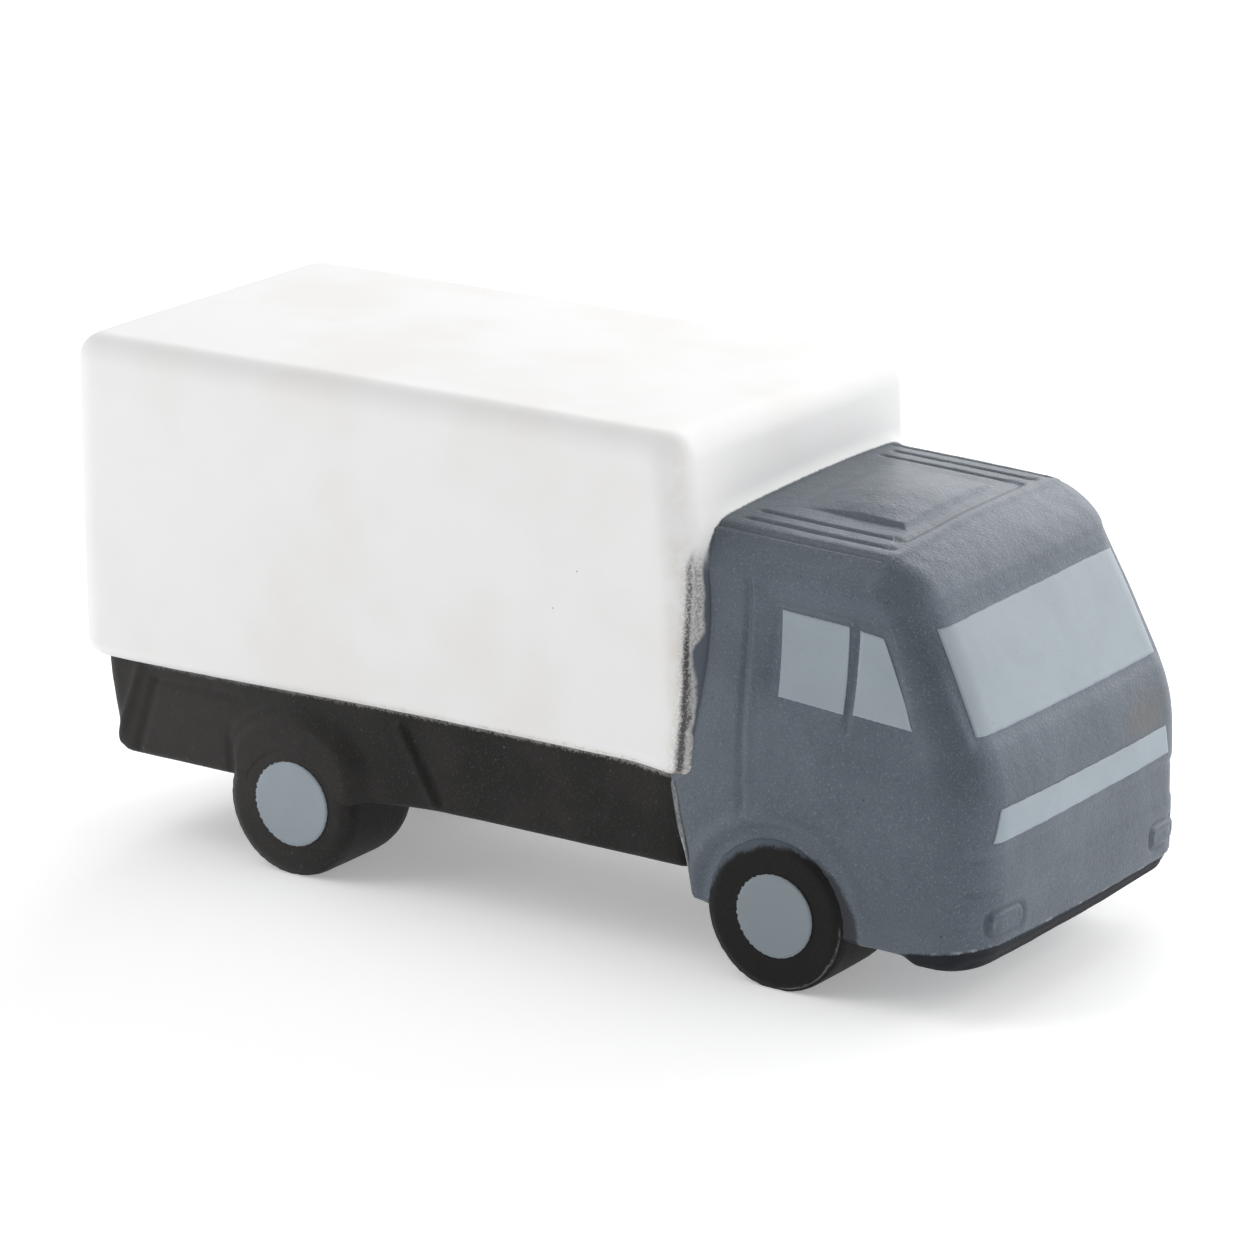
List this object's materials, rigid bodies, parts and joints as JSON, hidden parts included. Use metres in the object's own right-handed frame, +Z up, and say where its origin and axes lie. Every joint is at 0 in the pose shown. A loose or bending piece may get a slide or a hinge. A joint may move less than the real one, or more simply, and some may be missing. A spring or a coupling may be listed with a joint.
{
  "type": "mail delivery truck squeeze toy",
  "caption": "Soft foam model of a box-body delivery truck: white cargo box, slate cab, black chassis and wheels, pale printed windows and hubs.",
  "frame": {"origin": "on the floor under the middle of the truck, at the bottom centre of its bounding box", "axes": "+X forwards towards the cab, +Y to the truck's left, +Z up"},
  "size_m": [0.1065, 0.0416, 0.0522],
  "materials": {
    "polyurethane_foam": "cream integral-skin polyurethane foam, matte, fine closed pores",
    "white_coat": "flexible white spray coat, dead matte, fine grain, foam colour showing through on thin edges",
    "slate_coat": "flexible slate grey spray coat, satin matte, fine grain and pin-head pits",
    "black_coat": "flexible soot black spray coat, matte with a soft sheen, fuzzy oversprayed edges",
    "pale_blue_print": "pale blue-grey pad printing ink, flat matte, slightly ragged edges"
  },
  "bodies": {
    "root": {"foam_casting": "polyurethane_foam", "box_coat": "white_coat", "cab_coat": "slate_coat", "chassis_coat": "black_coat", "front_left_tyre_coat": "black_coat", "front_right_tyre_coat": "black_coat", "rear_left_tyre_coat": "black_coat", "rear_right_tyre_coat": "black_coat", "windscreen_print": "pale_blue_print", "nose_band_print": "pale_blue_print", "left_door_window_print": "pale_blue_print", "left_quarter_window_print": "pale_blue_print", "right_door_window_print": "pale_blue_print", "right_quarter_window_print": "pale_blue_print", "front_left_hub_print": "pale_blue_print", "front_right_hub_print": "pale_blue_print", "rear_left_hub_print": "pale_blue_print", "rear_right_hub_print": "pale_blue_print"}
  },
  "joints": []
}
